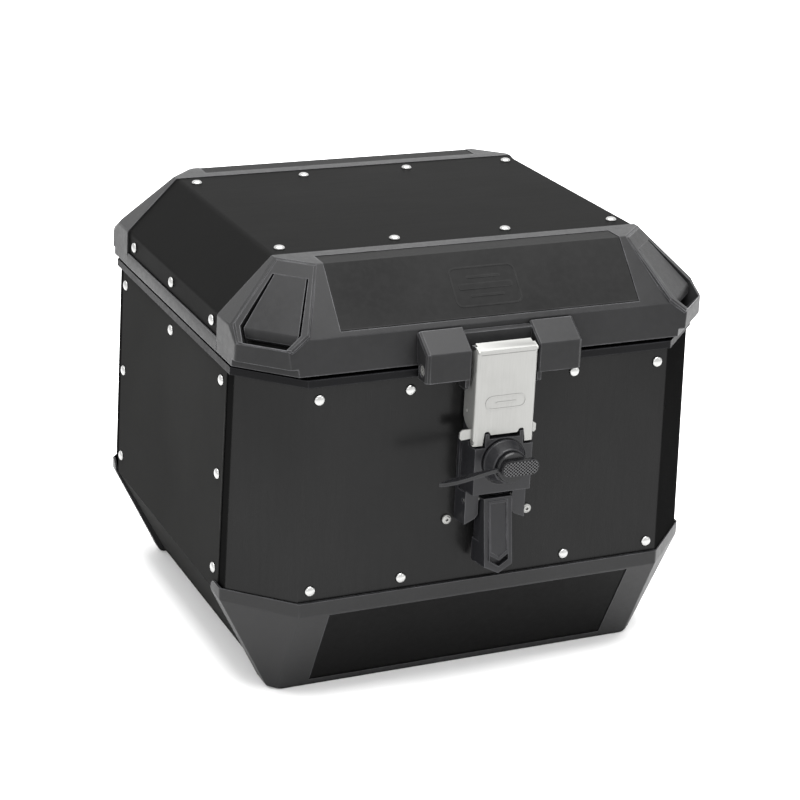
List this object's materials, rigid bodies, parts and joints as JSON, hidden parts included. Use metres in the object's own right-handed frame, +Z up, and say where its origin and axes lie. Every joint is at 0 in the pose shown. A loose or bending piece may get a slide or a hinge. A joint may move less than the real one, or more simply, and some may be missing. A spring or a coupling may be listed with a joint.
{
  "type": "motorcycle top case",
  "caption": "Hard motorcycle top case: chamfered aluminium body and lid with moulded caps, rear hinges, steel latch plate, key lock and base release lever.",
  "frame": {"origin": "centre of the flat underside of the base plate, on the plane the case stands on", "axes": "+Z up through the lid, -Y out of the latch side, +Y towards the hinges, +X to the right seen from the latch side"},
  "size_m": [0.437, 0.4594, 0.3761],
  "materials": {
    "aluminium_lid": "grained satin, dark grey anodised",
    "aluminium_body": "grained satin, dark grey anodised",
    "plastic_black": "fine moulded texture, black",
    "panel_black": "smooth satin, black",
    "rubber_black": "matt",
    "steel_satin": "brushed satin",
    "aluminium_rivet": "bright satin",
    "zinc_cast": "satin"
  },
  "bodies": {
    "case": {"body_side_sheet": "aluminium_body", "body_front_sheet": "aluminium_body", "body_rear_sheet": "aluminium_body", "lower_guard_front": "plastic_black", "guard_panel_front": "panel_black", "lower_guard_rear": "plastic_black", "guard_panel_rear": "panel_black", "rim_frame": "plastic_black", "rim_seal": "rubber_black", "rivets_front_top": "aluminium_rivet", "rivets_front_bottom": "aluminium_rivet", "rivets_rear_top": "aluminium_rivet", "rivets_rear_bottom": "aluminium_rivet", "rivets_left_front": "aluminium_rivet", "rivets_left_rear": "aluminium_rivet", "rivet_left_centre": "aluminium_rivet", "rivets_right_front": "aluminium_rivet", "rivets_right_rear": "aluminium_rivet", "rivet_right_centre": "aluminium_rivet", "base_plate": "plastic_black", "base_adapter": "plastic_black", "base_mat": "rubber_black", "lock_screw_left": "steel_satin", "lock_screw_right": "steel_satin", "hinge_body_leaf_left": "plastic_black", "hinge_pin_left": "steel_satin", "hinge_body_leaf_right": "plastic_black", "hinge_pin_right": "steel_satin", "lock_block": "plastic_black", "latch_pin": "steel_satin", "lever_pin": "steel_satin", "lock_collar": "plastic_black", "lock_backing_plate": "zinc_cast"},
    "lid": {"lid_sheet": "aluminium_lid", "lid_cap_front": "plastic_black", "lid_panel_front": "panel_black", "lid_cap_rear": "plastic_black", "lid_panel_rear": "panel_black", "lid_rail_left": "plastic_black", "rivets_lid_left": "aluminium_rivet", "bracket_screw_left": "steel_satin", "lid_rail_right": "plastic_black", "rivets_lid_right": "aluminium_rivet", "bracket_screw_right": "steel_satin", "rivets_lid_front": "aluminium_rivet", "rivets_lid_rear": "aluminium_rivet", "latch_bracket": "plastic_black", "catch_bar": "zinc_cast", "hinge_lid_leaf_left": "plastic_black", "hinge_lid_leaf_right": "plastic_black"},
    "latch": {"latch_plate": "steel_satin"},
    "release": {"release_lever": "plastic_black"},
    "catch": {"base_catch": "zinc_cast"},
    "barrel": {"lock_barrel": "zinc_cast", "lock_cam": "steel_satin"},
    "key": {"key": "plastic_black"}
  },
  "joints": [
    {"name": "lid_hinge", "type": "hinge", "parent": "case", "child": "lid", "pos_m": [0, 0.2063, 0.2955], "axis": [-1, 0, 0], "range_deg": [0, 95]},
    {"name": "latch_hinge", "type": "hinge", "parent": "case", "child": "latch", "pos_m": [0, -0.2205, 0.2322], "axis": [1, 0, 0], "range_deg": [0, 45]},
    {"name": "release_lever", "type": "hinge", "parent": "case", "child": "release", "pos_m": [0, -0.212, 0.178], "axis": [-1, 0, 0], "range_deg": [0, 35], "stiffness_Nm_per_rad": 0.1, "springref_deg": -17.19},
    {"name": "base_catch", "type": "slide", "parent": "case", "child": "catch", "axis": [0, -1, 0], "range_m": [0, 0.008]},
    {"name": "lock_barrel", "type": "hinge", "parent": "case", "child": "barrel", "pos_m": [0, -0.225, 0.215], "axis": [0, -1, 0], "range_deg": [0, 90]},
    {"name": "key_slide", "type": "slide", "parent": "barrel", "child": "key", "axis": [0, -1, 0], "range_m": [0, 0.03]}
  ],
  "couplings": [
    {"joint": "base_catch", "follows": "release_lever", "m_per_rad": 0.013}
  ]
}
